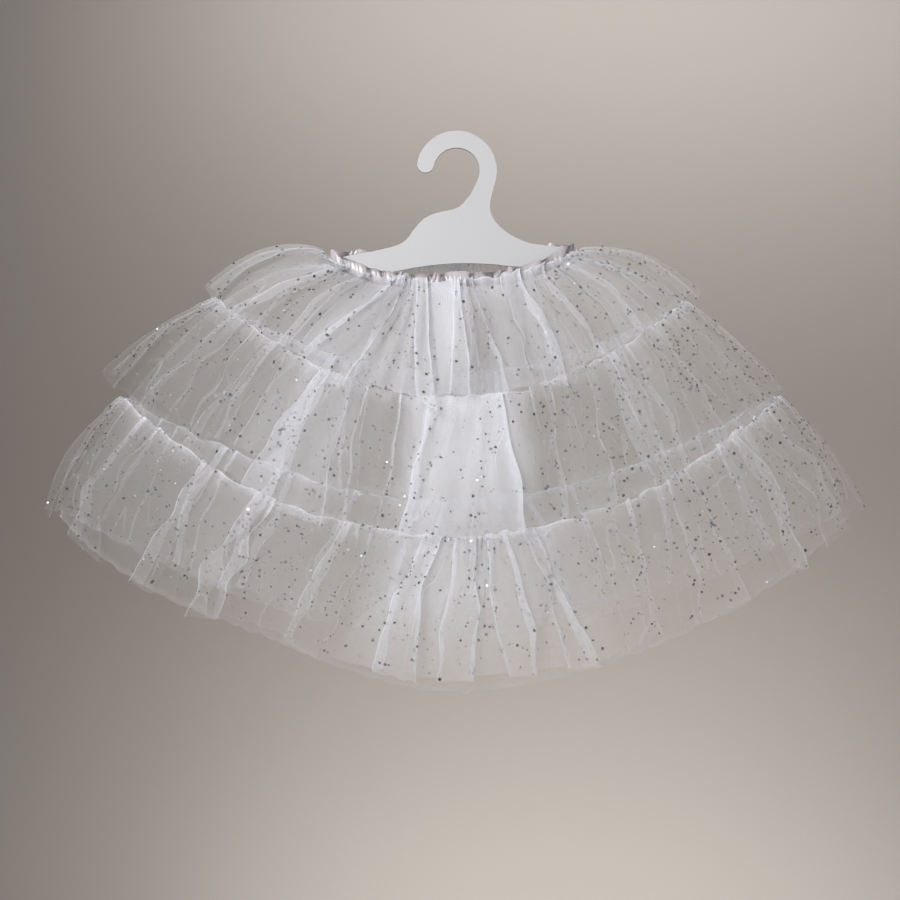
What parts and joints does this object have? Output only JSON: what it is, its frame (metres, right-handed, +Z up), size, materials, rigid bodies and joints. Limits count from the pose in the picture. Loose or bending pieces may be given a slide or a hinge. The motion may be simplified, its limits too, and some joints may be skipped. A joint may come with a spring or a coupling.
{
  "type": "tutu skirt on hanger",
  "caption": "Child's tiered tulle tutu skirt with a gathered satin waistband, spread open and hung by the waist on a flat board hanger with a round hook.",
  "frame": {"origin": "top of the inside of the hanger's hook, where it rests on a rail or nail", "axes": "+Z up, -Y out of the front of the skirt, +X to the right as one looks at the front"},
  "size_m": [0.6663, 0.1708, 0.4438],
  "materials": {
    "hanger_board": "white paint, satin",
    "satin": "ruched satin over elastic",
    "plain_tulle": "fine sheer net",
    "glitter_tulle": "fine sheer net with glitter flakes"
  },
  "bodies": {
    "root": {"hanger": "hanger_board", "waistband": "satin", "underskirt_front_left": "plain_tulle", "underskirt_front": "plain_tulle", "underskirt_front_right": "plain_tulle", "underskirt_back_right": "plain_tulle", "underskirt_back": "plain_tulle", "underskirt_back_left": "plain_tulle", "tier_top": "glitter_tulle", "tier_middle": "glitter_tulle", "tier_bottom": "glitter_tulle"}
  },
  "joints": []
}
